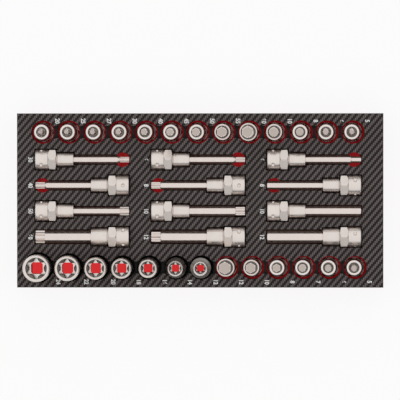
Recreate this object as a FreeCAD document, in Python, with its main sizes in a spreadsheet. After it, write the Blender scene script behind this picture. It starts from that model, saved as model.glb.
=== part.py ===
import FreeCAD, Part

import math
import os

import Sketcher

# Drawer insert of two foam layers under a printed film, with 38 half-inch-drive tools in its pockets.
# Millimetres. Origin: centre of the underside. +X runs along the long side, +Y to the upper row, +Z up.

SIZES = {
    # foam block
    "foam_length": 390,
    "foam_width": 185.5,
    "red_thickness": 21,
    "black_thickness": 14.5,
    "film_thickness": 0.5,
    # rows of standing tools
    "upper_row_start": -167.3,
    "upper_row_pitch": 27.5,
    "upper_row_level": 72.8,
    "lower_row_level": -71.4,
    "hex_row_start": 28.6,
    "hex_row_pitch": 27.3,
    "standing_margin": 1.1,
    "standing_floor": 3,
    "star_pocket_margin": 1.9,
    "star_floor_skin": 1,
    "finger_channel_width": 13,
    "finger_channel_depth": 4,
    # rows of lying tools
    "first_column": -125.4,
    "column_pitch": 123.4,
    "first_lying_row": 43.5,
    "lying_row_pitch": 27.4,
    "lying_sink": 2,
    "lying_end_gap": 1,
    "lying_side_gap": 0.9,
    "shaft_floor_gap": 1,
    "lift_recess": 15.5,
    "lift_recess_depth": 4,
    "lift_recess_inset": 7.4,
    # clearances of the tools
    "seat_gap": 0.2,
    "bit_fit": 0.02,
    "lean": 2,
    # holder, shared by the long and the short bit sockets
    "drive_diameter": 21.5,
    "drive_square": 12.9,
    "drive_depth": 16,
    "relief_depth": 1,
    "relief_length": 0.9,
    "neck_taper": 0.3,
    # long bit sockets
    "long_length": 100,
    "long_drive": 13.6,
    "long_collar": 8.7,
    "long_collar_flats": 20.5,
    "long_holder": 40.6,
    "slim_neck": 15,
    "stout_neck": 18.8,
    "long_bit_start": 28,
    # short bit sockets
    "short_length": 55,
    "short_drive": 12,
    "short_collar": 7.5,
    "short_collar_flats": 19.5,
    "short_shoulder": 5,
    "short_holder": 38,
    "small_front": 16.3,
    "middle_front": 17.4,
    "large_front": 19.3,
    "mouth_margin": 0.8,
    "mouth_depth": 3,
    "short_bit_start": 20,
    # bits
    "small_shank": 8,
    "middle_shank": 10,
    "large_shank": 12,
    "star_tip": 10,
    "spline_tip": 10,
    "hex_tip": 10,
    "short_tip": 8,
    "star_20": 3.86,
    "star_25": 4.43,
    "star_27": 4.99,
    "star_30": 5.52,
    "star_40": 6.65,
    "star_45": 7.82,
    "star_50": 8.83,
    "star_55": 11.22,
    "star_60": 13.25,
    "spline_5": 5,
    "spline_6": 6,
    "spline_8": 8,
    "spline_10": 10,
    "spline_12": 12,
    "hex_5": 5,
    "hex_6": 6,
    "hex_7": 7,
    "hex_8": 8,
    "hex_10": 10,
    "hex_12": 12,
    "star_root": 0.72,
    "star_valley": 0.215,
    # outer-star sockets
    "socket_length": 38,
    "socket_base": 22,
    "socket_base_length": 18,
    "socket_step": 3,
    "socket_chamfer": 0.9,
    "socket_star_depth": 16,
    "mouth_lip": 0.4,
    "socket_passage_12": 7.4,
    "socket_passage_14": 7.9,
    "socket_passage_16": 9.3,
    "socket_passage_18": 10,
    "socket_passage_20": 11,
    "socket_passage_22": 11.9,
    "socket_passage_24": 12.6,
    "outer_star_12": 11.17,
    "outer_star_14": 12.9,
    "outer_star_16": 14.76,
    "outer_star_18": 16.7,
    "outer_star_20": 18.45,
    "outer_star_22": 20.4,
    "outer_star_24": 22.16,
    "socket_nose_12": 15.4,
    "socket_nose_14": 16.4,
    "socket_nose_16": 19.6,
    "socket_nose_18": 21.4,
    "socket_nose_20": 23.4,
    "socket_nose_22": 26.6,
    "socket_nose_24": 28.8,
    "socket_place_24": -172.4,
    "socket_place_22": -139.7,
    "socket_place_20": -109.7,
    "socket_place_18": -82.1,
    "socket_place_16": -54.0,
    "socket_place_14": -24.9,
    "socket_place_12": 1.6,
    "socket_shift": 0.9,
}

LONG_TOOLS = {
    (0, 0): ("star", 30, "small"),
    (0, 1): ("star", 40, "small"),
    (0, 2): ("star", 50, "small"),
    (0, 3): ("star", 60, "large"),
    (1, 0): ("spline", 6, "small"),
    (1, 1): ("spline", 8, "small"),
    (1, 2): ("spline", 10, "middle"),
    (1, 3): ("spline", 12, "large"),
    (2, 0): ("hex", 6, "small"),
    (2, 1): ("hex", 8, "small"),
    (2, 2): ("hex", 10, "middle"),
    (2, 3): ("hex", 12, "large"),
}
UPPER_ROW = [
    ("star", 20, "small"),
    ("star", 25, "small"),
    ("star", 27, "small"),
    ("star", 30, "small"),
    ("star", 40, "small"),
    ("star", 45, "small"),
    ("star", 50, "small"),
    ("star", 55, "middle"),
    ("star", 60, "large"),
    ("spline", 10, "middle"),
    ("spline", 8, "small"),
    ("spline", 6, "small"),
    ("spline", 5, "small"),
]
HEX_ROW = [
    ("hex", 12, "large"),
    ("hex", 10, "middle"),
    ("hex", 8, "small"),
    ("hex", 7, "small"),
    ("hex", 6, "small"),
    ("hex", 5, "small"),
]
OUTER_STARS = [24, 22, 20, 18, 16, 14, 12]
RECESSED_ROWS = [0, 1]
# corners of a socket's passage: their reach as a share of its width, and their degrees from the face
PASSAGE_REACH = 0.594
PASSAGE_CORNER = 32.6
NECKS = {"small": "Sizes.slim_neck", "middle": "Sizes.slim_neck", "large": "Sizes.stout_neck"}
FRONTS = {"small": "Sizes.small_front", "middle": "Sizes.middle_front", "large": "Sizes.large_front"}
SHANKS = {"small": "Sizes.small_shank", "middle": "Sizes.middle_shank", "large": "Sizes.large_shank"}

doc = FreeCAD.newDocument("FoamToolInsert")


def make_sheet():
    sheet = doc.addObject("Spreadsheet::Sheet", "Sizes")
    for row, (alias, size) in enumerate(SIZES.items(), start=1):
        sheet.set(f"A{row}", alias)
        sheet.set(f"B{row}", str(size))
        sheet.setAlias(f"B{row}", alias)
    doc.recompute()
    return sheet


sheet = make_sheet()


def value(expression):
    return float(sheet.evalExpression(expression))


class Outline:
    """A sketch on an origin plane of its own body. Every point and radius is bound to the sheet."""

    def __init__(self, body, name, plane="XY_Plane", lift="0"):
        self.sketch = body.newObject("Sketcher::SketchObject", name)
        support = next(f for f in body.Origin.OriginFeatures if f.Role == plane)
        self.sketch.AttachmentSupport = [(support, "")]
        self.sketch.MapMode = "FlatFace"
        if lift != "0":
            self.sketch.setExpression("AttachmentOffset.Base.z", lift)
        self.shapes = []
        self.constraints = []
        self.bindings = {}

    def bind(self, kind, *where, size):
        self.bindings[len(self.constraints)] = size
        self.constraints.append(Sketcher.Constraint(kind, *where, value(size)))

    def hold(self, shape, end, across, along):
        self.bind("DistanceX", -1, 1, shape, end, size=across)
        self.bind("DistanceY", -1, 1, shape, end, size=along)

    def add(self, shape):
        self.shapes.append(shape)
        return len(self.shapes) - 1

    def join(self, first, first_end, second, second_end):
        self.constraints.append(Sketcher.Constraint("Coincident", first, first_end, second, second_end))

    def polygon(self, corners):
        """A closed outline of straight lines through corners, each a pair of expressions."""
        points = [FreeCAD.Vector(value(across), value(along), 0) for across, along in corners]
        lines = [
            self.add(Part.LineSegment(point, points[(n + 1) % len(points)]))
            for n, point in enumerate(points)
        ]
        for n, line in enumerate(lines):
            self.join(line, 2, lines[(n + 1) % len(lines)], 1)
            self.hold(line, 1, *corners[n])

    def rectangle(self, left, bottom, right, top):
        self.polygon([(left, bottom), (right, bottom), (right, top), (left, top)])

    def circle(self, across, along, diameter):
        centre = FreeCAD.Vector(value(across), value(along), 0)
        circle = self.add(Part.Circle(centre, FreeCAD.Vector(0, 0, 1), value(diameter) / 2))
        self.bind("Radius", circle, size=f"({diameter}) / 2")
        self.hold(circle, 3, across, along)

    def star(self, diameter):
        """Six arms on a circle of the diameter, with a round valley between each pair of them."""
        reach = value(diameter) / 2
        valley = value(f"Sizes.star_valley * ({diameter})")
        valley_place = value(f"Sizes.star_root * ({diameter}) / 2") + valley
        # where a valley's circle meets the outer circle, as an angle from the valley's middle
        meet = math.acos((valley_place**2 + reach**2 - valley**2) / (2 * valley_place * reach))
        centre = FreeCAD.Vector(0, 0, 0)
        up = FreeCAD.Vector(0, 0, 1)
        arms = []
        valleys = []
        for n in range(6):
            arm_turn = math.radians(60 * n)
            valley_turn = arm_turn + math.pi / 6
            crown = Part.Circle(centre, up, reach)
            spread = math.pi / 6 - meet
            arms.append(self.add(Part.ArcOfCircle(crown, arm_turn - spread, arm_turn + spread)))
            middle = FreeCAD.Vector(math.cos(valley_turn), math.sin(valley_turn), 0) * valley_place
            edge_turn = valley_turn - meet
            edge = FreeCAD.Vector(math.cos(edge_turn), math.sin(edge_turn), 0) * reach
            start = math.atan2(edge.y - middle.y, edge.x - middle.x)
            half = (start - valley_turn + math.pi) % (2 * math.pi) - math.pi
            half = math.pi - abs(half)
            hollow = Part.Circle(middle, up, valley)
            inward = valley_turn + math.pi
            valleys.append(self.add(Part.ArcOfCircle(hollow, inward - half, inward + half)))
        for n in range(6):
            turn = f"{60 * n + 30} deg"
            place = f"(Sizes.star_root / 2 + Sizes.star_valley) * ({diameter})"
            self.join(arms[n], 3, -1, 1)
            self.bind("Radius", arms[n], size=f"({diameter}) / 2")
            self.hold(valleys[n], 3, f"{place} * cos({turn})", f"{place} * sin({turn})")
            self.bind("Radius", valleys[n], size=f"Sizes.star_valley * ({diameter})")
            self.join(arms[n], 2, valleys[n], 2)
            self.join(valleys[n], 1, arms[(n + 1) % 6], 1)

    def finish(self):
        self.sketch.addGeometry(self.shapes, False)
        self.sketch.addConstraint(self.constraints)
        for index, expression in self.bindings.items():
            self.sketch.setExpression(f"Constraints[{index}]", expression)
        return self.sketch


def regular(across_flats, sides=6, turn=0):
    """Corners of a regular polygon with the first corner at turn degrees."""
    reach = f"({across_flats}) / 2 / cos({180 / sides} deg)"
    turns = [turn + 360 * n / sides for n in range(sides)]
    return [(f"{reach} * cos({t} deg)", f"{reach} * sin({t} deg)") for t in turns]


def square_passage(width, turn):
    """A square with its corners cut off, its sides facing turn degrees and every quarter turn from it."""
    turns = [turn + 90 * n + half for n in range(4) for half in (-PASSAGE_CORNER, PASSAGE_CORNER)]
    reach = f"{PASSAGE_REACH} * {width}"
    return [(f"{reach} * cos({t} deg)", f"{reach} * sin({t} deg)") for t in turns]


def triple_square(points_diameter):
    """Corners of three squares turned by 30 degrees: twelve points with a valley between each two."""
    reach = f"({points_diameter}) / 2"
    corners = []
    for n in range(12):
        point_turn = f"{30 * n} deg"
        valley_turn = f"{30 * n + 15} deg"
        valley = f"{reach} * cos(45 deg) / cos(30 deg)"
        corners.append((f"{reach} * cos({point_turn})", f"{reach} * sin({point_turn})"))
        corners.append((f"{valley} * cos({valley_turn})", f"{valley} * sin({valley_turn})"))
    return corners


def new_body(label):
    body = doc.addObject("PartDesign::Body", label)
    body.Label = label
    return body


def pad(body, outline, length, name):
    feature = body.newObject("PartDesign::Pad", name)
    feature.Profile = outline.finish()
    feature.setExpression("Length", length)
    return feature


def cut_down(body, outline, depth, name):
    feature = body.newObject("PartDesign::Pocket", name)
    feature.Profile = outline.finish()
    feature.setExpression("Length", depth)
    return feature


def cut_up(body, outline, depth, name):
    feature = cut_down(body, outline, depth, name)
    feature.Reversed = True
    return feature


def turned(body, corners, name, kind="Revolution"):
    """A profile of (radius, height) corners, turned round the body's Z axis."""
    outline = Outline(body, f"{name}_profile", "XZ_Plane")
    outline.polygon(corners)
    feature = body.newObject(f"PartDesign::{kind}", name)
    feature.Profile = outline.finish()
    feature.ReferenceAxis = (feature.Profile[0], ["V_Axis"])
    feature.Angle = 360
    return feature


def put(item, x, y, z, rotation=FreeCAD.Rotation()):
    item.Placement = FreeCAD.Placement(FreeCAD.Vector(value(x), value(y), value(z)), rotation)
    for axis, expression in zip("xyz", (x, y, z)):
        item.setExpression(f"Placement.Base.{axis}", expression)


TOP = "(Sizes.red_thickness + Sizes.black_thickness + Sizes.film_thickness)"
BLACK_TOP = "(Sizes.red_thickness + Sizes.black_thickness)"
LYING_AXIS = f"({TOP} - Sizes.lying_sink)"
STAR_FLOOR = "(Sizes.red_thickness + Sizes.star_floor_skin)"
SOCKET_LEVEL = "(Sizes.lower_row_level - Sizes.socket_shift / 2)"
LONG_SIDE = "max(Sizes.drive_diameter; Sizes.long_collar_flats) / 2"
LONG_REACH = "max(Sizes.drive_diameter; Sizes.long_collar_flats / cos(30 deg)) / 2"
SHORT_WIDTH = "max(Sizes.drive_diameter; Sizes.short_collar_flats / cos(30 deg))"
STANDING_POCKET = f"({SHORT_WIDTH} + 2 * Sizes.standing_margin)"


def column_middle(column):
    return f"(Sizes.first_column + {column} * Sizes.column_pitch)"


def row_level(row):
    return f"(Sizes.first_lying_row - {row} * Sizes.lying_row_pitch)"


def upper_place(n):
    return f"(Sizes.upper_row_start + {n} * Sizes.upper_row_pitch)"


def hex_place(n):
    return f"(Sizes.hex_row_start + {n} * Sizes.hex_row_pitch)"


def socket_place(size):
    """X of an outer-star socket, which stands off the middle of its loose pocket."""
    return f"(Sizes.socket_place_{size} - Sizes.socket_shift)"


def socket_width(size):
    """The wider of an outer-star socket's base and nose."""
    return f"max(Sizes.socket_base; Sizes.socket_nose_{size})"


def along_tool(column, row, distance):
    """X of a point on a lying tool, at a distance from its drive end. Rows alternate in direction."""
    side = 1 if row % 2 == 0 else -1
    return f"({column_middle(column)} + {side} * (({distance}) - Sizes.long_length / 2))"


def slot(outline, column, row, start, end, half_width):
    ends = sorted((along_tool(column, row, start), along_tool(column, row, end)), key=value)
    level = row_level(row)
    outline.rectangle(ends[0], f"{level} - ({half_width})", ends[1], f"{level} + ({half_width})")


def drive_slots(outline):
    start = "-Sizes.lying_end_gap"
    end = "Sizes.long_drive + Sizes.long_collar + Sizes.lying_end_gap"
    for column, row in LONG_TOOLS:
        slot(outline, column, row, start, end, f"{LONG_SIDE} + Sizes.lying_side_gap")


def neck_slots(outline, wanted):
    start = "Sizes.long_drive + Sizes.long_collar"
    end = "Sizes.long_holder + Sizes.lying_end_gap"
    for (column, row), (_, _, shank) in LONG_TOOLS.items():
        if NECKS[shank] == wanted:
            slot(outline, column, row, start, end, f"{wanted} / 2 + Sizes.lying_side_gap")


def shaft_slots(outline):
    start = "Sizes.long_holder"
    end = "Sizes.long_length + Sizes.lying_end_gap"
    for (column, row), (_, _, shank) in LONG_TOOLS.items():
        corner = f"{SHANKS[shank]} / cos(30 deg) / 2"
        slot(outline, column, row, start, end, f"{corner} + Sizes.lying_side_gap")


def lift_recesses(outline):
    for column, row in LONG_TOOLS:
        if row in RECESSED_ROWS:
            place = along_tool(column, row, "Sizes.long_length - Sizes.lift_recess_inset")
            outline.circle(place, row_level(row), "Sizes.lift_recess")


def standing_pockets(outline):
    for n in range(len(UPPER_ROW)):
        outline.circle(upper_place(n), "Sizes.upper_row_level", STANDING_POCKET)
    for n in range(len(HEX_ROW)):
        outline.circle(hex_place(n), "Sizes.lower_row_level", STANDING_POCKET)


def star_pockets(outline):
    for size in OUTER_STARS:
        width = f"({socket_width(size)} + 2 * Sizes.star_pocket_margin)"
        outline.circle(f"Sizes.socket_place_{size}", "Sizes.lower_row_level", width)


def star_windows(outline):
    """Squares through the black skin under the outer-star sockets, as wide as their drive squares."""
    half = "Sizes.drive_square / 2"
    level = SOCKET_LEVEL
    for size in OUTER_STARS:
        place = socket_place(size)
        outline.rectangle(f"{place} - {half}", f"{level} - {half}", f"{place} + {half}", f"{level} + {half}")


def finger_channels(outline):
    half = "Sizes.finger_channel_width / 2"
    upper_end = upper_place(len(UPPER_ROW) - 1)
    hex_end = hex_place(len(HEX_ROW) - 1)
    rows = [
        (upper_place(0), upper_end, "Sizes.upper_row_level"),
        ("Sizes.socket_place_24", hex_end, "Sizes.lower_row_level"),
    ]
    for start, end, level in rows:
        outline.rectangle(start, f"{level} - {half}", end, f"{level} + {half}")


def lying_floor(radius):
    """Height of the floor under a part of a lying tool that reaches radius from its axis."""
    return f"({LYING_AXIS} - {radius} - Sizes.seat_gap)"


# each kind of cut with the height of its floor above the underside
CUTS = {
    "drive_slots": (drive_slots, lying_floor(LONG_REACH)),
    "slim_neck_slots": (
        lambda outline: neck_slots(outline, "Sizes.slim_neck"),
        lying_floor("Sizes.slim_neck / 2"),
    ),
    "stout_neck_slots": (
        lambda outline: neck_slots(outline, "Sizes.stout_neck"),
        lying_floor("Sizes.stout_neck / 2"),
    ),
    "shaft_slots": (
        shaft_slots,
        f"({LYING_AXIS} - Sizes.large_shank / 2 - Sizes.shaft_floor_gap)",
    ),
    "lift_recesses": (lift_recesses, "(Sizes.red_thickness - Sizes.lift_recess_depth)"),
    "standing_pockets": (standing_pockets, "Sizes.standing_floor"),
    "star_pockets": (star_pockets, STAR_FLOOR),
    "star_windows": (star_windows, "Sizes.red_thickness"),
    "finger_channels": (finger_channels, f"({BLACK_TOP} - Sizes.finger_channel_depth)"),
}


def foam_layer(label, bottom, thickness):
    """One sheet of the insert, with every cut that reaches it."""
    body = new_body(label)
    blank = Outline(body, f"{label}_blank")
    half_length = "Sizes.foam_length / 2"
    half_width = "Sizes.foam_width / 2"
    blank.rectangle(f"-{half_length}", f"-{half_width}", half_length, half_width)
    pad(body, blank, thickness, f"{label}_sheet")
    layer_top = value(f"{bottom} + {thickness}")
    for cut, (draw, floor) in CUTS.items():
        if value(floor) >= layer_top:
            continue
        outline = Outline(body, f"{label}_{cut}_outline", lift=thickness)
        draw(outline)
        through = value(floor) <= value(bottom)
        depth = f"{thickness} + 1" if through else f"{bottom} + {thickness} - {floor}"
        cut_down(body, outline, depth, f"{label}_{cut}")
    put(body, "0", "0", bottom)
    return body


def drive_end(body, label, drive, collar, across_flats):
    """Round drive end with its square, then the hexagonal collar."""
    round_end = Outline(body, f"{label}_drive_outline")
    round_end.circle("0", "0", "Sizes.drive_diameter")
    pad(body, round_end, drive, f"{label}_drive")
    flats = Outline(body, f"{label}_collar_outline", lift=drive)
    flats.polygon(regular(across_flats, turn=30))
    pad(body, flats, collar, f"{label}_collar")


def cut_bores(body, label, shank, whole, bit_start):
    square = Outline(body, f"{label}_square_outline")
    square.polygon(regular("Sizes.drive_square", sides=4, turn=45))
    cut_up(body, square, "Sizes.drive_depth", f"{label}_square")
    bore = Outline(body, f"{label}_bore_outline", lift=whole)
    bore.polygon(regular(f"{shank} + 2 * Sizes.bit_fit"))
    cut_down(body, bore, f"{whole} - {bit_start}", f"{label}_bore")


def make_long_holder(label, neck, shank):
    """Drive end, collar, a narrow relief behind the collar, then a neck that tapers to its front."""
    body = new_body(label)
    drive_end(body, label, "Sizes.long_drive", "Sizes.long_collar", "Sizes.long_collar_flats")
    relief_start = "(Sizes.long_drive + Sizes.long_collar)"
    neck_start = f"({relief_start} + Sizes.relief_length)"
    relief = f"{neck} / 2 - Sizes.relief_depth"
    corners = [
        ("0", relief_start),
        (relief, relief_start),
        (relief, neck_start),
        (f"{neck} / 2", neck_start),
        (f"{neck} / 2 - Sizes.neck_taper", "Sizes.long_holder"),
        ("0", "Sizes.long_holder"),
    ]
    turned(body, corners, f"{label}_neck")
    cut_bores(body, label, shank, "Sizes.long_holder", "Sizes.long_bit_start")
    return body


def make_short_holder(label, front, shank):
    """Drive end, collar, a sloped shoulder and a round front with a wider mouth round the bit."""
    body = new_body(label)
    drive_end(body, label, "Sizes.short_drive", "Sizes.short_collar", "Sizes.short_collar_flats")
    shoulder_start = "(Sizes.short_drive + Sizes.short_collar)"
    corners = [
        ("0", shoulder_start),
        ("Sizes.short_collar_flats / 2", shoulder_start),
        (f"{front} / 2", f"{shoulder_start} + Sizes.short_shoulder"),
        (f"{front} / 2", "Sizes.short_holder"),
        ("0", "Sizes.short_holder"),
    ]
    turned(body, corners, f"{label}_front")
    cut_bores(body, label, shank, "Sizes.short_holder", "Sizes.short_bit_start")
    mouth = Outline(body, f"{label}_mouth_outline", lift="Sizes.short_holder")
    mouth.circle("0", "0", f"{shank} / cos(30 deg) + 2 * Sizes.mouth_margin")
    cut_down(body, mouth, "Sizes.mouth_depth", f"{label}_mouth")
    return body


def make_bit(label, family, size, shank, start, end, tip):
    """A hexagonal shank from start to end, its last stretch formed as a star, spline or hexagon."""
    body = new_body(label)
    tip_size = f"Sizes.{family}_{size}"
    length = f"({end} - {start})"
    bar = Outline(body, f"{label}_bar_outline")
    bar.polygon(regular(shank))
    if family == "hex" and value(tip_size) == value(shank):
        pad(body, bar, length, f"{label}_bar")
        return body
    tip_start = f"({length} - {tip})"
    pad(body, bar, tip_start, f"{label}_bar")
    working = Outline(body, f"{label}_tip_outline", lift=tip_start)
    if family == "star":
        working.star(tip_size)
    elif family == "spline":
        working.polygon(triple_square(tip_size))
    else:
        working.polygon(regular(tip_size))
    pad(body, working, tip, f"{label}_tip")
    reach = f"{tip_size} / 2"
    corner = f"({shank} / cos(30 deg) / 2 + Sizes.bit_fit)"
    if value(reach) < value(f"{shank} / 2"):
        shoulder = [
            (reach, tip_start),
            (corner, f"{tip_start} - 2 * ({corner} - {reach})"),
            (corner, tip_start),
        ]
        turned(body, shoulder, f"{label}_shoulder", "Groove")
    return body


def make_long_tool(column, row, family, size, shank):
    name = f"long_{family}_{size}"
    holder = make_long_holder(f"holder_{name}", NECKS[shank], SHANKS[shank])
    tip = f"Sizes.{family}_tip"
    bit = make_bit(
        f"bit_{name}", family, size, SHANKS[shank], "Sizes.long_bit_start", "Sizes.long_length", tip
    )
    side = 1 if row % 2 == 0 else -1
    # lays the tool down with a flat of its shank facing up
    lay = FreeCAD.Rotation(FreeCAD.Vector(0, 1, 0), 90 * side)
    roll = FreeCAD.Rotation(FreeCAD.Vector(0, 0, 1), 90)
    for item, distance in ((holder, "0"), (bit, "Sizes.long_bit_start")):
        place = along_tool(column, row, distance)
        put(item, place, row_level(row), LYING_AXIS, lay * roll)
    return [holder, bit]


def short_pieces(name, family, size, shank):
    holder = make_short_holder(f"holder_{name}", FRONTS[shank], SHANKS[shank])
    bit = make_bit(
        f"bit_{name}",
        family,
        size,
        SHANKS[shank],
        "Sizes.short_bit_start",
        "Sizes.short_length",
        "Sizes.short_tip",
    )
    return holder, bit


# standing sockets lean a little towards -X in their loose pockets, and their arms point along Y
LEAN = FreeCAD.Rotation(FreeCAD.Vector(0, 1, 0), -value("Sizes.lean"))
UPRIGHT_TURN = FreeCAD.Rotation(FreeCAD.Vector(0, 0, 1), 30)
SEAT = "(Sizes.standing_floor + Sizes.seat_gap + Sizes.drive_diameter / 2 * sin(Sizes.lean * 1 deg))"


def make_upper_tool(n, family, size, shank):
    name = f"short_{family}_{size}"
    holder, bit = short_pieces(name, family, size, shank)
    put(bit, "0", "0", "Sizes.short_bit_start")
    group = doc.addObject("Part::Compound", name)
    group.Label = name
    group.Links = [holder, bit]
    put(group, upper_place(n), "Sizes.upper_row_level", SEAT, LEAN * UPRIGHT_TURN)
    return [group]


def make_hex_tool(n, family, size, shank):
    holder, bit = short_pieces(f"short_{family}_{size}", family, size, shank)
    place = hex_place(n)
    put(holder, place, "Sizes.lower_row_level", SEAT, LEAN * UPRIGHT_TURN)
    rise = "Sizes.short_bit_start"
    bit_x = f"{place} - {rise} * sin(Sizes.lean * 1 deg)"
    bit_z = f"{SEAT} + {rise} * cos(Sizes.lean * 1 deg)"
    put(bit, bit_x, "Sizes.lower_row_level", bit_z, LEAN * UPRIGHT_TURN)
    return [holder, bit]


def make_outer_star_socket(size):
    label = f"socket_outer_star_{size}"
    body = new_body(label)
    nose = f"Sizes.socket_nose_{size} / 2"
    star = f"Sizes.outer_star_{size}"
    base = f"{socket_width(size)} / 2"
    step = "Sizes.socket_base_length"
    whole = "Sizes.socket_length"
    turning = [("0", "0"), (base, "0")]
    if value(base) > value(nose):
        turning += [(base, step), (nose, f"{step} + Sizes.socket_step")]
    turning += [
        (nose, f"{whole} - Sizes.socket_chamfer"),
        (f"{nose} - Sizes.socket_chamfer", whole),
        ("0", whole),
    ]
    turned(body, turning, f"{label}_turning")
    recess = Outline(body, f"{label}_recess_outline", lift=whole)
    recess.star(star)
    cut_down(body, recess, "Sizes.socket_star_depth", f"{label}_recess")
    lip = f"({star} / 2 + Sizes.mouth_lip)"
    mouth = [("0", whole), (lip, whole), ("0", f"{whole} - {lip}")]
    turned(body, mouth, f"{label}_mouth", "Groove")
    square = Outline(body, f"{label}_square_outline")
    square.polygon(regular("Sizes.drive_square", sides=4, turn=15))
    cut_up(body, square, "Sizes.drive_depth", f"{label}_square")
    passage = Outline(body, f"{label}_passage_outline")
    passage.polygon(square_passage(f"Sizes.socket_passage_{size}", turn=-30))
    cut_up(body, passage, f"{whole} - Sizes.socket_star_depth", f"{label}_passage")
    put(
        body,
        socket_place(size),
        SOCKET_LEVEL,
        f"{STAR_FLOOR} + Sizes.seat_gap",
        UPRIGHT_TURN,
    )
    return [body]


def make_nodes():
    nodes = [
        foam_layer("red_foam_layer", "0", "Sizes.red_thickness"),
        foam_layer("black_foam_layer", "Sizes.red_thickness", "Sizes.black_thickness"),
        foam_layer("face_film", BLACK_TOP, "Sizes.film_thickness"),
    ]
    for (column, row), (family, size, shank) in LONG_TOOLS.items():
        nodes += make_long_tool(column, row, family, size, shank)
    for n, (family, size, shank) in enumerate(UPPER_ROW):
        nodes += make_upper_tool(n, family, size, shank)
    for n, (family, size, shank) in enumerate(HEX_ROW):
        nodes += make_hex_tool(n, family, size, shank)
    for size in OUTER_STARS:
        nodes += make_outer_star_socket(size)
    return nodes


def check(nodes):
    failed = [o.Label for o in doc.Objects if {"Invalid", "Error"} & set(o.State)]
    failed += [o.Label for o in nodes if o.Shape.isNull() or not o.Shape.isValid()]
    if failed:
        raise SystemExit(f"not built: {failed}")


def main():
    nodes = make_nodes()
    doc.recompute()
    check(nodes)
    os.makedirs("parts", exist_ok=True)
    for node in nodes:
        node.Shape.exportStep(f"parts/{node.Label}.step")
        print(node.Label, len(node.Shape.Solids), round(node.Shape.Volume, 1))


main()
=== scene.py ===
"""Foam tool insert: two foam layers and a woven-look film hold thirty-eight chromed bit sockets."""

import math

import bmesh
import bpy
from mathutils import Matrix, Vector


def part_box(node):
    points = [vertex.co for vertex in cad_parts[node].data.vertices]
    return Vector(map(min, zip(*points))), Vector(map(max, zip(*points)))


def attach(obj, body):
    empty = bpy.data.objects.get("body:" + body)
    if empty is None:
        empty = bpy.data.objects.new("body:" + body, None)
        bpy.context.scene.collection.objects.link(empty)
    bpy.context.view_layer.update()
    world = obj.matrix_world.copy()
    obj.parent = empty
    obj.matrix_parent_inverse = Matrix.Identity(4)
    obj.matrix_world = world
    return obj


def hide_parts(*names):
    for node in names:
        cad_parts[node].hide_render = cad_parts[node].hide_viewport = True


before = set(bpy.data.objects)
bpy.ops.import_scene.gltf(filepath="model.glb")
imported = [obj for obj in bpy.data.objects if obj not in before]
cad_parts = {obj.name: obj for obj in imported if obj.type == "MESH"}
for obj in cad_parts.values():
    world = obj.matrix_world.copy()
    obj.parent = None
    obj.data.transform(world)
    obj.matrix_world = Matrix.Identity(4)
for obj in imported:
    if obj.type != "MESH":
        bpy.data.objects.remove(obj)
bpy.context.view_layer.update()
MM = 0.001
RING_STEPS = 96

# the foam block and its rows, in millimetres
FILM_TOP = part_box("face_film")[1].z / MM
BLACK_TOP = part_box("black_foam_layer")[1].z / MM
RED_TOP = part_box("red_foam_layer")[1].z / MM
UPPER_PLACES = [-167.3 + 27.5 * n for n in range(13)]
UPPER_LEVEL = 72.8
HEX_PLACES = [28.6 + 27.3 * n for n in range(6)]
LOWER_LEVEL = -71.4
COLUMN_MIDDLES = [-125.4, -2.0, 121.4]
LYING_LEVELS = [43.5 - 27.4 * n for n in range(4)]
STANDING_SEAT = 3.2
LEAN = 2.0
# just inside the block's sides, and the level that parts the standing rows from the lying ones
INSIDE_X = 194.5
INSIDE_Y = 92.3
ROWS_PART = 58
CHANNEL_BELOW_TOP = 4.2

# the holders, in millimetres
DRIVE_REACH = 10.75
DRIVE_SQUARE = 12.9
DRIVE_DEPTH = 16.0
DRIVE_CORNER = 8.7
LONG_BIT = {"start": 28.0, "end": 100.0, "tip": 10.0}
SHORT_BIT = {"start": 20.0, "end": 55.0, "tip": 8.0}
WINDOW_SIDE = 12.7
# reach of the passage's corners over its width
PASSAGE_REACH = 0.594
NECKS = {8: 7.5, 10: 7.5, 12: 9.4}
FRONTS = {8: 8.15, 10: 8.7, 12: 9.65}
STAR_WIDTHS = {20: 3.86, 25: 4.43, 27: 4.99, 30: 5.52, 40: 6.65, 45: 7.82, 50: 8.83, 55: 11.22, 60: 13.25}

LONG_TOOLS = [
    [("star", 30, 8), ("star", 40, 8), ("star", 50, 8), ("star", 60, 12)],
    [("spline", 6, 8), ("spline", 8, 8), ("spline", 10, 10), ("spline", 12, 12)],
    [("hex", 6, 8), ("hex", 8, 8), ("hex", 10, 10), ("hex", 12, 12)],
]
UPPER_ROW = [
    ("star", 20, 8),
    ("star", 25, 8),
    ("star", 27, 8),
    ("star", 30, 8),
    ("star", 40, 8),
    ("star", 45, 8),
    ("star", 50, 8),
    ("star", 55, 10),
    ("star", 60, 12),
    ("spline", 10, 10),
    ("spline", 8, 8),
    ("spline", 6, 8),
    ("spline", 5, 8),
]
HEX_ROW = [("hex", 12, 12), ("hex", 10, 10), ("hex", 8, 8), ("hex", 7, 8), ("hex", 6, 8), ("hex", 5, 8)]
# outer-star sockets: width across the star's points, reach of the nose, and width of the passage
OUTER_STARS = {
    24: (22.16, 14.4, 12.6),
    22: (20.4, 13.3, 11.9),
    20: (18.45, 11.7, 11.0),
    18: (16.7, 10.7, 10.0),
    16: (14.76, 9.8, 9.3),
    14: (12.9, 8.2, 7.9),
    12: (11.17, 7.7, 7.4),
}
# how far each long holder is turned round its axis, so that its ball holes show where they do
HOLE_TURNS = {(0, 1): 0, (0, 3): -50, (1, 1): 180, (2, 3): 20}


# shader maths ---------------------------------------------------------------


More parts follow.
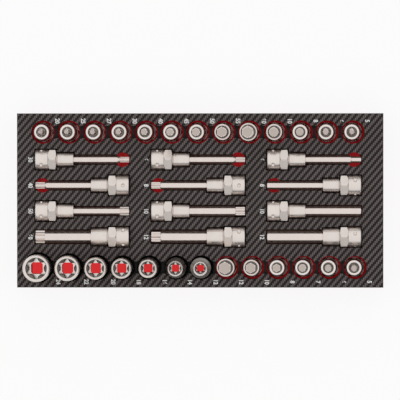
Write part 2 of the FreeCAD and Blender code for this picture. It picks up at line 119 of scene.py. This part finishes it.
class Wire:
    """One shader value; the usual operators add the Math nodes."""

    def __init__(self, paint, socket):
        self.paint = paint
        self.socket = socket

    def maths(self, operation, first, second=0.0):
        return self.paint.node("ShaderNodeMath", {"operation": operation}, {0: first, 1: second})

    def __add__(self, other):
        return self.maths("ADD", self, other)

    def __sub__(self, other):
        return self.maths("SUBTRACT", self, other)

    def __rsub__(self, other):
        return self.maths("SUBTRACT", other, self)

    def __mul__(self, other):
        return self.maths("MULTIPLY", self, other)

    __rmul__ = __mul__

    def __truediv__(self, other):
        return self.maths("DIVIDE", self, other)

    def __mod__(self, other):
        return self.maths("FLOORED_MODULO", self, other)

    def __lt__(self, other):
        return self.maths("LESS_THAN", self, other)

    def floor(self):
        return self.maths("FLOOR", self)

    def part(self):
        return self.maths("FRACT", self)


class Paint:
    """The nodes of a material, or of the studio's world, under construction."""

    def __init__(self, owner):
        self.owner = owner
        owner.use_nodes = True
        self.tree = owner.node_tree
        self.tree.nodes.clear()

    def node(self, kind, settings=None, inputs=None, output=0):
        made = self.tree.nodes.new(kind)
        for name, setting in (settings or {}).items():
            setattr(made, name, setting)
        for name, given in (inputs or {}).items():
            if isinstance(given, Wire):
                self.tree.links.new(given.socket, made.inputs[name])
            else:
                made.inputs[name].default_value = given
        return Wire(self, made.outputs[output])

    def place(self):
        return self.node("ShaderNodeTexCoord", output="Object")

    def axes(self, place):
        return [self.node("ShaderNodeSeparateXYZ", inputs={0: place}, output=n) for n in range(3)]

    def stretched(self, place, scale):
        settings = {"operation": "MULTIPLY"}
        return self.node("ShaderNodeVectorMath", settings, {0: place, 1: scale})

    def noise(self, place, scale, detail=3.0, roughness=0.5):
        inputs = {"Vector": place, "Scale": scale, "Detail": detail, "Roughness": roughness}
        return self.node("ShaderNodeTexNoise", inputs=inputs)

    def cells(self, place, scale):
        return self.node("ShaderNodeTexVoronoi", inputs={"Vector": place, "Scale": scale})

    def between(self, mask, low, high):
        """A number that goes from low to high with the mask."""
        limits = {"From Min": 0.0, "From Max": 1.0, "To Min": low, "To Max": high}
        return self.node("ShaderNodeMapRange", inputs={"Value": mask, **limits})

    def mixed(self, mask, first, second):
        inputs = {0: mask, 6: first, 7: second}
        return self.node("ShaderNodeMix", {"data_type": "RGBA"}, inputs, output=2)

    def bump(self, height, distance, strength):
        inputs = {"Height": height, "Distance": distance, "Strength": strength}
        return self.node("ShaderNodeBump", inputs=inputs)

    def finished(self, **inputs):
        surface = self.node("ShaderNodeBsdfPrincipled", inputs=inputs)
        return self.output(surface)

    def output(self, surface, kind="ShaderNodeOutputMaterial"):
        end = self.tree.nodes.new(kind)
        self.tree.links.new(surface.socket, end.inputs["Surface"])
        return self.owner


def material_paint(name):
    return Paint(bpy.data.materials.new(name))


# finishes ---------------------------------------------------------------------


def woven_film():
    """Printed two-by-two twill: each tow passes over two and under two. Each tow also carries painted shade, lighter
    along its middle and darker at its edges.
    """
    paint = material_paint("woven_film")
    place = paint.place()
    x, y, _ = paint.axes(place)
    tow_x, tow_y = x / (1.75 * MM), y / (2.05 * MM)
    over = ((tow_x.floor() - tow_y.floor()) % 4.0) < 2.0
    across_warp, across_weft = tow_x.part() - 0.5, tow_y.part() - 0.5
    # painted shade across each round tow, lighter in the middle and darker at the edges; the same term also gives the
    # bump height
    crown_and_painted_shade = 1.0 - 3.2 * (over * across_warp * across_warp + (1.0 - over) * across_weft * across_weft)
    warp_lines = paint.noise(paint.stretched(place, (9000, 260, 1)), 1.0, 2.0)
    weft_lines = paint.noise(paint.stretched(place, (260, 9000, 1)), 1.0, 2.0)
    lines = paint.between(over * warp_lines + (1.0 - over) * weft_lines, 0.72, 1.28)
    patches = paint.between(paint.noise(place, 26.0, 2.0), 0.82, 1.18)
    light = paint.between(over, 0.016, 0.136) * crown_and_painted_shade * lines * patches
    tint = paint.node("ShaderNodeCombineColor", inputs={0: light * 1.16, 1: light * 0.94, 2: light * 0.91})
    height = crown_and_painted_shade * 0.6 + lines * 0.25
    return paint.finished(
        **{
            "Base Color": tint,
            "Roughness": paint.between(over, 0.5, 0.36),
            "Normal": paint.bump(height, 0.06 * MM, 0.5),
            "Specular IOR Level": 0.18,
        }
    )


def cut_foam(name, colour, dark, glow=0.0):
    """Closed-cell foam: fine pores, and a slightly mottled colour. A glow is a stand-in for scattered light; its
    strength was fitted by brightness, not derived."""
    paint = material_paint(name)
    place = paint.place()
    pores = paint.cells(place, 1700.0)
    grain = paint.noise(place, 900.0, 4.0, 0.6)
    mottle = paint.noise(place, 60.0, 3.0)
    mask = paint.between(pores * 0.6 + grain * 0.4 + mottle * 0.35, 0.0, 1.0)
    shade = paint.mixed(mask, dark, colour)
    return paint.finished(
        **{
            "Base Color": shade,
            "Emission Color": shade,
            "Emission Strength": glow,
            "Roughness": paint.between(grain, 0.72, 0.95),
            "Normal": paint.bump(pores * 0.7 + grain * 0.5, 0.16 * MM, 0.6),
            "Specular IOR Level": 0.3,
        }
    )


def satin_chrome(name, colour, roughness, turned, contrast=0.12):
    """Chromed steel with fine turning rings, or with lengthwise drawing lines."""
    paint = material_paint(name)
    place = paint.place()
    long_lines, short_lines = (700, 9000) if turned else (6500, 300)
    strokes = paint.noise(paint.stretched(place, (long_lines, long_lines, short_lines)), 1.0, 3.0, 0.6)
    speckle = paint.noise(place, 2600.0, 2.0)
    cloud = paint.noise(place, 110.0, 3.0)
    tone = paint.between(strokes * 0.5 + cloud * 0.5, 1.0 - contrast, 1.0 + contrast)
    colour_node = paint.node(
        "ShaderNodeCombineColor", inputs={0: tone * colour[0], 1: tone * colour[1], 2: tone * colour[2]}
    )
    return paint.finished(
        **{
            "Base Color": colour_node,
            "Metallic": 1.0,
            "Roughness": paint.between(strokes * 0.5 + speckle * 0.3 + cloud * 0.2, roughness - 0.09, roughness + 0.1),
            "Normal": paint.bump(strokes * 0.7 + speckle * 0.3, 0.02 * MM, 0.5),
        }
    )


def screen_print():
    """White ink on the film, a little thin in places."""
    paint = material_paint("white_ink")
    place = paint.place()
    wear = paint.noise(place, 900.0, 4.0, 0.6)
    shade = paint.between(wear, 0.66, 0.9)
    tint = paint.node("ShaderNodeCombineColor", inputs={0: shade, 1: shade, 2: shade * 0.98})
    return paint.finished(**{"Base Color": tint, "Roughness": paint.between(wear, 0.45, 0.65)})


def white_floor():
    """Shows white, with the soft shadow that the object leaves on it."""
    paint = material_paint("white_floor")
    place = paint.place()
    seen = paint.node("ShaderNodeLightPath", output="Is Camera Ray")
    mirrored = paint.node("ShaderNodeLightPath", output="Is Glossy Ray")
    through = paint.node("ShaderNodeLightPath", output="Is Transmission Ray")
    shown = seen.maths("MINIMUM", seen + mirrored + through, 1.0)
    patch = paint.between(paint.noise(place, 3.0, 2.0), 0.9, 0.94)
    tint = paint.node("ShaderNodeCombineColor", inputs={0: patch, 1: patch, 2: patch})
    plain = paint.node("ShaderNodeBsdfDiffuse", inputs={"Color": tint})
    bright = paint.node("ShaderNodeEmission", inputs={"Color": (1, 1, 1, 1), "Strength": 1.0})
    return paint.output(paint.node("ShaderNodeMixShader", inputs={0: shown * 0.88, 1: plain, 2: bright}))


FILM = woven_film()
RED_FOAM = cut_foam("red_foam_cells", (0.62, 0.030, 0.032, 1), (0.34, 0.012, 0.014, 1))
# red foam down in the pockets, with a painted glow that stands in for the light scattered there
POCKET_RED_FOAM_PAINTED_GLOW = cut_foam("pocket_red_foam_painted_glow", (0.66, 0.030, 0.034, 1), (0.40, 0.014, 0.018, 1), 0.14)
# black foam walls down in the upper row's pockets, painted dark red with a faint glow: painted red light from the red
# foam below
POCKET_WALL_PAINTED_RED_GLOW = cut_foam("pocket_wall_painted_red_glow", (0.16, 0.014, 0.014, 1), (0.07, 0.008, 0.008, 1), 0.10)
# red foam under the lying tools, with a stronger painted glow that stands in for the light reaching down there
TIP_RECESS_FOAM_PAINTED_GLOW = cut_foam("tip_recess_foam_painted_glow", (0.66, 0.030, 0.034, 1), (0.44, 0.016, 0.020, 1), 0.22)
# black foam in the lying tools' slots, painted brown: a painted stand-in for red foam seen in shade
SHAFT_SLOT_PAINTED_SHADED_RED = cut_foam("shaft_slot_painted_shaded_red", (0.150, 0.082, 0.066, 1), (0.070, 0.038, 0.030, 1))
# red foam of the window pads, with a strong painted glow that gives most of its brightness
WINDOW_PAD_PAINTED_GLOW = cut_foam("window_pad_painted_glow", (0.70, 0.036, 0.038, 1), (0.54, 0.028, 0.030, 1), 0.9)
BLACK_FOAM = cut_foam("black_foam_cells", (0.020, 0.019, 0.019, 1), (0.006, 0.006, 0.006, 1))
TURNED_CHROME = satin_chrome("turned_chrome", (0.80, 0.73, 0.685), 0.30, True, 0.2)
DRAWN_STEEL = satin_chrome("drawn_steel", (0.81, 0.72, 0.675), 0.28, False)
# a lighter copy of the chrome for flat faces that look up at the light: painted highlight
FACE_CHROME_PAINTED_HIGHLIGHT = satin_chrome("face_chrome_painted_highlight", (0.87, 0.82, 0.78), 0.24, True, 0.08)
# a darker copy of the chrome for the short holders' collar and shoulder, down in the pocket: painted shade
SHOULDER_CHROME_PAINTED_SHADE = satin_chrome("shoulder_chrome_painted_shade", (0.56, 0.50, 0.47), 0.34, True, 0.2)
# a dark copy of the chrome for the insides of holes and bores: painted shade
BORE_CHROME_PAINTED_SHADE = satin_chrome("bore_chrome_painted_shade", (0.27, 0.255, 0.24), 0.42, True, 0.25)
# a darker copy of the chrome for the outer-star sockets' mouth cones and shoulders: painted shade
CONE_CHROME_PAINTED_SHADE = satin_chrome("cone_chrome_painted_shade", (0.42, 0.39, 0.365), 0.26, True, 0.2)
TIP_STEEL = satin_chrome("tip_steel", (0.55, 0.48, 0.43), 0.36, True, 0.16)
INK = screen_print()


# outlines: reach from the axis at an angle, in millimetres ------------------------


def reach(outline, angle):
    return outline(angle) if callable(outline) else outline


def polygon(flats, sides=6, turn=0.0):
    step = 360 / sides

    def outline(angle):
        return flats / 2 / math.cos(math.radians((angle - turn) % step - step / 2))

    return outline


def within(outline, limit):
    return lambda angle: min(reach(outline, angle), limit)


def beyond(outline, least):
    return lambda angle: max(reach(outline, angle), least)


def grown(outline, extra):
    return lambda angle: reach(outline, angle) + extra


def six_arms(width):
    """Six rounded arms, the first along the angle 0, with round valleys between them."""
    valley = 0.215 * width
    valley_place = 0.36 * width + valley
    blend = 34 / width

    def outline(angle):
        off = math.radians((angle % 60) - 30)
        inside = valley**2 - (valley_place * math.sin(off)) ** 2
        near = valley_place * math.cos(off) - math.sqrt(inside) if inside > 0 else width
        return -math.log(math.exp(-blend * near) + math.exp(-blend * width / 2)) / blend

    return outline


def twelve_points(width):
    squares = [polygon(width * math.sqrt(0.5), 4, turn) for turn in (0, 30, 60)]
    return lambda angle: min(max(square(angle) for square in squares), width / 2 - 0.12)


def ball_holes(radius, height, turn, middle=6.4, width=3.6, depth=1.5):
    """The drive end's round wall with its four ball holes sunk into it."""

    def outline(angle):
        around = ((angle - turn + 45) % 90) - 45
        off = math.hypot(math.radians(around) * radius, height - middle) / (width / 2)
        return radius - depth * max(0.0, 1 - off**2) ** 0.5 if off < 1 else radius

    return outline


# pieces --------------------------------------------------------------------


def skin(work, low, high, finish):
    for k in range(RING_STEPS):
        after = (k + 1) % RING_STEPS
        if len(low) == 1:
            corners = (low[0], high[after], high[k])
        elif len(high) == 1:
            corners = (low[k], low[after], high[0])
        else:
            corners = (low[k], low[after], high[after], high[k])
        work.faces.new(corners).material_index = finish


def ring(work, height, outline):
    if outline == 0:
        return [work.verts.new((0, 0, height * MM))]
    verts = []
    for k in range(RING_STEPS):
        angle = 360 * k / RING_STEPS
        far = reach(outline, angle) * MM
        turn = math.radians(angle)
        verts.append(work.verts.new((far * math.cos(turn), far * math.sin(turn), height * MM)))
    return verts


def mesh_piece(name, work, materials, placing, crease=34):
    mesh = bpy.data.meshes.new(name)
    bmesh.ops.recalc_face_normals(work, faces=work.faces)
    work.to_mesh(mesh)
    work.free()
    mesh.shade_smooth()
    mesh.set_sharp_from_angle(angle=math.radians(crease))
    for material in materials:
        mesh.materials.append(material)
    piece = bpy.data.objects.new(name, mesh)
    bpy.context.scene.collection.objects.link(piece)
    piece.matrix_world = placing
    return piece


def shell(name, rings, placing, materials, looped=False):
    """A closed skin through rings of (height, outline), or (height, outline, material) where the skin
    that arrives at the ring has another material. An outline of 0 is a point on the axis."""
    work = bmesh.new()
    loops = [ring(work, height, outline) for height, outline, *_ in rings]
    if looped:
        rings, loops = rings + rings[:1], loops + loops[:1]
    for n in range(1, len(loops)):
        finish = rings[n][2] if len(rings[n]) > 2 else 0
        skin(work, loops[n - 1], loops[n], finish)
    return mesh_piece(name, work, materials, placing)


def stand_for(piece, body, node):
    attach(piece, body)
    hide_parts(node)


def square_drive():
    """The drive hole, from its floor out to the drive face."""
    hole = within(polygon(DRIVE_SQUARE, 4, 45), DRIVE_CORNER)
    return [(DRIVE_DEPTH, 0), (DRIVE_DEPTH, hole, 1), (0.7, hole, 1), (0.0, within(grown(hole, 0.7), 9.3))]


def drive_wall(length, turn):
    """Rounded edge, then the wall with its ball holes, up to the collar."""
    rings = [(0.0, 9.75), (0.12, 10.1), (0.4, 10.45), (0.8, 10.66), (1.3, DRIVE_REACH), (4.3, DRIVE_REACH)]
    rings += [(4.6 + 0.36 * n, ball_holes(DRIVE_REACH, 4.6 + 0.36 * n, turn)) for n in range(11)]
    return rings + [(8.6, DRIVE_REACH), (length - 0.5, DRIVE_REACH), (length - 0.25, DRIVE_REACH - 0.12)]


def collar(start, length, flats):
    """Hexagon with turned corners at both ends."""
    bar = polygon(flats, turn=30)
    corner = flats / 2 / math.cos(math.pi / 6)
    low = flats / 2 + 0.05
    rings = [(start - 0.12, low - 0.2), (start, low - 0.05)]
    rings += [(start + 1.5 * n / 5, within(bar, low + (corner - low) * n / 5)) for n in range(6)]
    end = start + length
    rings += [(end - 0.9 + 0.75 * n / 3, within(bar, corner - (corner - low) * n / 3)) for n in range(4)]
    return rings + [(end, within(bar, low - 0.25))]


def bore(shank, top, bottom):
    hole = polygon(shank + 0.04)
    return [(top, grown(hole, 0.25)), (top - 0.3, hole, 1), (bottom, hole, 1), (bottom, 0, 1)]


def long_holder(name, shank, placing, turn):
    neck = NECKS[shank]
    rings = square_drive() + drive_wall(13.6, turn) + collar(13.6, 8.7, 20.5)
    rings += [(22.3, neck - 0.7), (22.45, neck - 1.0), (23.05, neck - 1.0), (23.2, neck - 0.9)]
    rings += [(23.22, neck - 0.75), (23.35, neck - 0.35), (23.6, neck - 0.12), (24.1, neck)]
    rings += [(32.0, neck - 0.12), (40.3, neck - 0.3), (40.5, neck - 0.36), (40.6, neck - 0.5)]
    rings += bore(shank, 40.6, 28.0)
    return shell(name, rings, placing, [TURNED_CHROME, BORE_CHROME_PAINTED_SHADE])


def short_holder(name, shank, placing):
    front = FRONTS[shank]
    mouth = shank / 2 / math.cos(math.pi / 6) + 0.8
    rings = square_drive() + drive_wall(12.0, turn=0)
    # collar and shoulder take the darker chrome: painted shade down in the pocket
    rings += [(height, outline, 3) for height, outline in collar(12.0, 7.5, 19.5)]
    rings += [(19.5, 9.4, 3), (19.9, 9.3, 3), (24.2, front + 0.14, 3), (24.7, front + 0.02, 3), (25.2, front, 3)]
    rings += [(37.2, front), (37.55, front - 0.14), (37.85, front - 0.42), (38.0, front - 0.8)]
    # the 8 mm holders' end faces take the lighter chrome, a painted highlight
    face = 2 if shank == 8 else 0
    rings += [(38.0, mouth + 0.45, face), (37.9, mouth + 0.2, face), (37.6, mouth, face)]
    rings += [(35.2, mouth, 1), (35.0, mouth - 0.2, 1)]
    rings += [(height, outline, 1) for height, outline, *_ in bore(shank, 35.0, 20.0)]
    return shell(name, rings, placing, [TURNED_CHROME, BORE_CHROME_PAINTED_SHADE, FACE_CHROME_PAINTED_HIGHLIGHT, SHOULDER_CHROME_PAINTED_SHADE])


def bit_rings(family, size, shank, start, end, tip):
    """Hexagonal bar from start to end with its last stretch formed."""
    bar = polygon(shank)
    corner = shank / 2 / math.cos(math.pi / 6)
    rings = [(start, 0), (start, grown(bar, -0.3)), (start + 0.4, bar)]
    if family == "hex":
        width = size / 2 / math.cos(math.pi / 6)
        head = polygon(size)
    else:
        width = (STAR_WIDTHS[size] if family == "star" else size) / 2
        head = six_arms(2 * width) if family == "star" else twelve_points(2 * width)
    formed = end - tip
    if width < corner - 0.01:
        slope = 2 * (corner - width)
        rings += [(formed - slope * (1 - n / 4), within(bar, corner - (corner - width) * n / 4)) for n in range(5)]
        rings += [(formed + 0.2, within(head, width)), (formed + 0.6, head)]
    elif family != "hex":
        rings += [(formed - 1.2, bar), (formed - 0.4, within(bar, corner)), (formed, head)]
    lead = 0.07 * width
    rings += [(end - 2.4 * lead, head), (end - lead, within(grown(head, -0.03), width - 0.45 * lead))]
    rings += [(end - 0.15, within(head, width - 1.7 * lead))]
    return rings + [(end, within(grown(head, -0.15), width - 2.5 * lead)), (end, 0, 1)]


def lying_place(column, row):
    """Drive end at one end of the pocket, with a flat of the bar facing up."""
    side = 1 if row % 2 == 0 else -1
    family, size, _ = LONG_TOOLS[column][row]
    low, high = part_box(f"holder_long_{family}_{size}")
    start = Vector((low.x if side > 0 else high.x, (low.y + high.y) / 2, (low.z + high.z) / 2))
    lay = Matrix.Rotation(math.radians(90 * side), 4, "Y") @ Matrix.Rotation(math.radians(90), 4, "Z")
    return Matrix.Translation(start) @ lay


def standing_place(x, y):
    seat = STANDING_SEAT + DRIVE_REACH * math.sin(math.radians(LEAN))
    lean = Matrix.Rotation(math.radians(-LEAN), 4, "Y") @ Matrix.Rotation(math.radians(30), 4, "Z")
    return Matrix.Translation(Vector((x, y, seat)) * MM) @ lean


def long_tools():
    for column, tools in enumerate(LONG_TOOLS):
        for row, (family, size, shank) in enumerate(tools):
            name = f"long_{family}_{size}"
            placing = lying_place(column, row)
            holder = long_holder(f"turned_holder_{name}", shank, placing, HOLE_TURNS.get((column, row), 30))
            stand_for(holder, f"tool_{name}", f"holder_{name}")
            rings = bit_rings(family, size, shank, **LONG_BIT)
            bit = shell(f"formed_bit_{name}", rings, placing, [DRAWN_STEEL, TIP_STEEL])
            stand_for(bit, f"tool_{name}", f"bit_{name}")


def short_tools(tools, places, level, own_nodes):
    for (family, size, shank), x in zip(tools, places):
        name = f"short_{family}_{size}"
        placing = standing_place(x, level)
        holder = short_holder(f"turned_holder_{name}", shank, placing)
        rings = bit_rings(family, size, shank, **SHORT_BIT)
        bit = shell(f"formed_bit_{name}", rings, placing, [DRAWN_STEEL, TIP_STEEL])
        stand_for(holder, f"tool_{name}", f"holder_{name}" if own_nodes else name)
        stand_for(bit, f"tool_{name}", f"bit_{name}" if own_nodes else name)


def outer_star_socket(size, width, nose, passage):
    node = f"socket_outer_star_{size}"
    low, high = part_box(node)
    middle = (low + high) / 2
    placing = Matrix.Translation((middle.x, middle.y, low.z)) @ Matrix.Rotation(math.radians(30), 4, "Z")
    star = six_arms(width)
    square = within(polygon(DRIVE_SQUARE, 4, 15), DRIVE_CORNER)
    base = max(nose, 11.0)
    rings = [(0.7, square, 1), (0.0, grown(square, 0.6)), (0.0, base - 1.0), (0.3, base - 0.4), (1.0, base)]
    rings += [(4.6 + 0.36 * n, ball_holes(base, 4.6 + 0.36 * n, 15)) for n in range(11)]
    if base > nose:
        rings += [(17.6, base), (18.1, base - 0.12), (20.7, nose + 0.12, 2), (21.3, nose, 2)]
    rings += [(36.6, nose), (36.95, nose - 0.12), (37.4, nose - 0.45), (37.85, nose - 0.85), (38.0, nose - 1.0)]
    lip = width / 2 + 0.4
    depth = lip - 0.36 * width
    rings += [(38.0, lip + 0.25), (37.9, lip)]
    rings += [(37.9 - depth * n / 6, beyond(star, lip - depth * n / 6), 2) for n in range(1, 7)]
    hole = within(polygon(passage, 4, 15), PASSAGE_REACH * passage)
    # the ledge at the bottom of the star takes the lighter chrome, a painted highlight; the star's walls take the dark
    # bore chrome, painted shade
    rings += [(37.4 - depth, star, 1), (22.6, star, 1), (22.0, grown(star, -0.4), 3), (22.0, hole, 3)]
    rings += [(21.7, grown(hole, 0.05), 1), (DRIVE_DEPTH, hole, 1), (DRIVE_DEPTH, square, 1)]
    materials = [TURNED_CHROME, BORE_CHROME_PAINTED_SHADE, CONE_CHROME_PAINTED_SHADE, FACE_CHROME_PAINTED_HIGHLIGHT]
    piece = shell(f"turned_{node}", rings, placing, materials, looped=True)
    stand_for(piece, f"tool_outer_star_{size}", node)


def window_pad(size):
    """The red foam that crowns up through the square window under an outer-star socket."""
    low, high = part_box(f"socket_outer_star_{size}")
    placing = Matrix.Translation(((low.x + high.x) / 2, (low.y + high.y) / 2, 0))
    side = within(polygon(WINDOW_SIDE, 4, 45), DRIVE_CORNER)
    rings = [(RED_TOP - 0.2, 0), (RED_TOP - 0.2, side), (RED_TOP + 0.15, side), (RED_TOP + 0.3, grown(side, -0.3))]
    rings += [(RED_TOP + 0.42, grown(side, -1.6)), (RED_TOP + 0.5, grown(side, -3.6)), (RED_TOP + 0.52, 0)]
    piece = shell(f"window_pad_{size}", rings, placing, [WINDOW_PAD_PAINTED_GLOW])
    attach(piece, "insert")


def whole_sheet(_):
    return 0


def on_the_outside(spot):
    return abs(spot.x) > INSIDE_X or abs(spot.y) > INSIDE_Y


def red_layer_finish(spot):
    """Plain outside, with a painted glow down in the pockets, and a stronger painted glow under the lying tools' tips.
    """
    if on_the_outside(spot) or spot.z < 0.1 or spot.z > RED_TOP - 0.05:
        return 0
    return 1 if abs(spot.y) > ROWS_PART else 2


def black_layer_finish(spot):
    """Plain outside; painted brown, standing in for shaded red foam, in the slots of the lying tools; painted dark red
    with a faint glow down in the upper row's pockets.
    """
    if on_the_outside(spot) or spot.z > BLACK_TOP - 0.5:
        return 0
    if abs(spot.y) < ROWS_PART:
        return 1
    return 2 if spot.y > ROWS_PART and spot.z < BLACK_TOP - CHANNEL_BELOW_TOP else 0


def eased_layer(node, name, materials, finish, level, width):
    """The layer with the edges of its cut-outs slightly rounded at one level, as die-cut foam has."""
    work = bmesh.new()
    work.from_mesh(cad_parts[node].data)
    bmesh.ops.remove_doubles(work, verts=work.verts, dist=2e-6)
    bmesh.ops.dissolve_limit(work, angle_limit=math.radians(0.5), verts=work.verts, edges=work.edges)
    edges = [
        edge
        for edge in work.edges
        if edge.is_manifold
        and edge.calc_face_angle() > math.radians(60)
        and all(abs(vert.co.z - level * MM) < 0.01 * MM for vert in edge.verts)
    ]
    bmesh.ops.bevel(
        work, geom=edges, offset=width * MM, segments=2, profile=0.5, affect="EDGES", clamp_overlap=True
    )
    bmesh.ops.triangulate(work, faces=work.faces)
    for face in work.faces:
        face.material_index = finish(face.calc_center_median() / MM)
    piece = mesh_piece(name, work, materials, Matrix.Identity(4), crease=30)
    stand_for(piece, "insert", node)


def number_mesh(text, x, y):
    """Raised ink figures, read from the right-hand side of the insert."""
    curve = bpy.data.curves.new("figures", "FONT")
    curve.body = text
    curve.align_x = "CENTER"
    curve.align_y = "CENTER"
    curve.size = 6.4 * MM
    curve.offset = 0.22 * MM
    curve.extrude = 0.03 * MM
    carrier = bpy.data.objects.new("figures", curve)
    mesh = bpy.data.meshes.new_from_object(carrier)
    bpy.data.objects.remove(carrier)
    bpy.data.curves.remove(curve)
    spot = Vector((x, y, FILM_TOP + 0.03)) * MM
    narrow = Matrix.Diagonal((0.86, 1.0, 1.0, 1.0))
    mesh.transform(Matrix.Translation(spot) @ Matrix.Rotation(math.radians(-90), 4, "Z") @ narrow)
    return mesh


def number_row(name, marks):
    work = bmesh.new()
    for text, x, y in marks:
        mesh = number_mesh(text, x, y)
        work.from_mesh(mesh)
        bpy.data.meshes.remove(mesh)
    piece = mesh_piece(name, work, [INK], Matrix.Identity(4))
    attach(piece, "insert")


def size_numbers():
    upper = [(str(size), x + 15.1, 84.6) for (_, size, _), x in zip(UPPER_ROW, UPPER_PLACES)]
    number_row("numbers_upper_row", upper)
    for column, tools in enumerate(LONG_TOOLS):
        x = COLUMN_MIDDLES[column] - 55.5
        marks = [(str(size), x, y) for (_, size, _), y in zip(tools, LYING_LEVELS)]
        number_row(f"numbers_column_{column + 1}", marks)
    star_marks = [-151.3, -121.3, -92.6, -65.5, -37.8, -11.0, 16.5]
    lower = [(str(size), x, -86.7) for size, x in zip(OUTER_STARS, star_marks)]
    lower += [(str(size), x + 15.0, -86.7) for (_, size, _), x in zip(HEX_ROW, HEX_PLACES)]
    number_row("numbers_lower_row", lower)


def floor():
    work = bmesh.new()
    bmesh.ops.create_grid(work, x_segments=8, y_segments=8, size=3.0)
    piece = mesh_piece("floor", work, [white_floor()], Matrix.Translation((0, 0, -0.0002)))


def studio():
    """A broad soft ceiling that leans a little towards +Y, over darker walls."""
    paint = Paint(bpy.data.worlds.new("studio"))
    _, y, z = paint.axes(paint.node("ShaderNodeTexCoord", output="Generated"))
    limits = {"From Min": 0.14, "From Max": 0.5, "To Min": 0.12, "To Max": 1.13}
    smooth = {"interpolation_type": "SMOOTHSTEP"}
    ceiling = paint.node("ShaderNodeMapRange", smooth, {"Value": z + y * 0.14, **limits})
    seen = paint.node("ShaderNodeLightPath", output="Is Camera Ray")
    glow = paint.node("ShaderNodeBackground", inputs={"Strength": seen + (1.0 - seen) * ceiling})
    bpy.context.scene.world = paint.output(glow, "ShaderNodeOutputWorld")


def camera():
    """Looks almost straight down; the picture is 425.8 mm wide at the film."""
    sight = bpy.data.cameras.new("camera")
    stand = bpy.data.objects.new("camera", sight)
    bpy.context.scene.collection.objects.link(stand)
    target = Vector((0.0, 0.5, FILM_TOP)) * MM
    back = Vector((math.sin(math.radians(1.3)), math.sin(math.radians(0.6)), 1.0)).normalized()
    distance = 4.0
    sight.sensor_width = 36.0
    sight.lens = 36.0 * distance / 0.4258
    sight.clip_end = 20.0
    stand.location = target + back * distance
    right = (Vector((1, 0, 0)) - back * back.x).normalized()
    stand.rotation_euler = Matrix((right, back.cross(right), back)).transposed().to_euler()
    bpy.context.scene.camera = stand


camera()
studio()
floor()
RED_FINISHES = [RED_FOAM, POCKET_RED_FOAM_PAINTED_GLOW, TIP_RECESS_FOAM_PAINTED_GLOW]
eased_layer("red_foam_layer", "red_layer", RED_FINISHES, red_layer_finish, RED_TOP, 0.35)
BLACK_FINISHES = [BLACK_FOAM, SHAFT_SLOT_PAINTED_SHADED_RED, POCKET_WALL_PAINTED_RED_GLOW]
eased_layer("black_foam_layer", "black_layer", BLACK_FINISHES, black_layer_finish, BLACK_TOP, 0.25)
eased_layer("face_film", "film_sheet", [FILM], whole_sheet, FILM_TOP, 0.15)
long_tools()
short_tools(UPPER_ROW, UPPER_PLACES, UPPER_LEVEL, own_nodes=False)
short_tools(HEX_ROW, HEX_PLACES, LOWER_LEVEL, own_nodes=True)
for star_size, (star_width, nose_reach, passage_width) in OUTER_STARS.items():
    outer_star_socket(star_size, star_width, nose_reach, passage_width)
    window_pad(star_size)
size_numbers()

bpy.context.scene.view_settings.view_transform = "Standard"
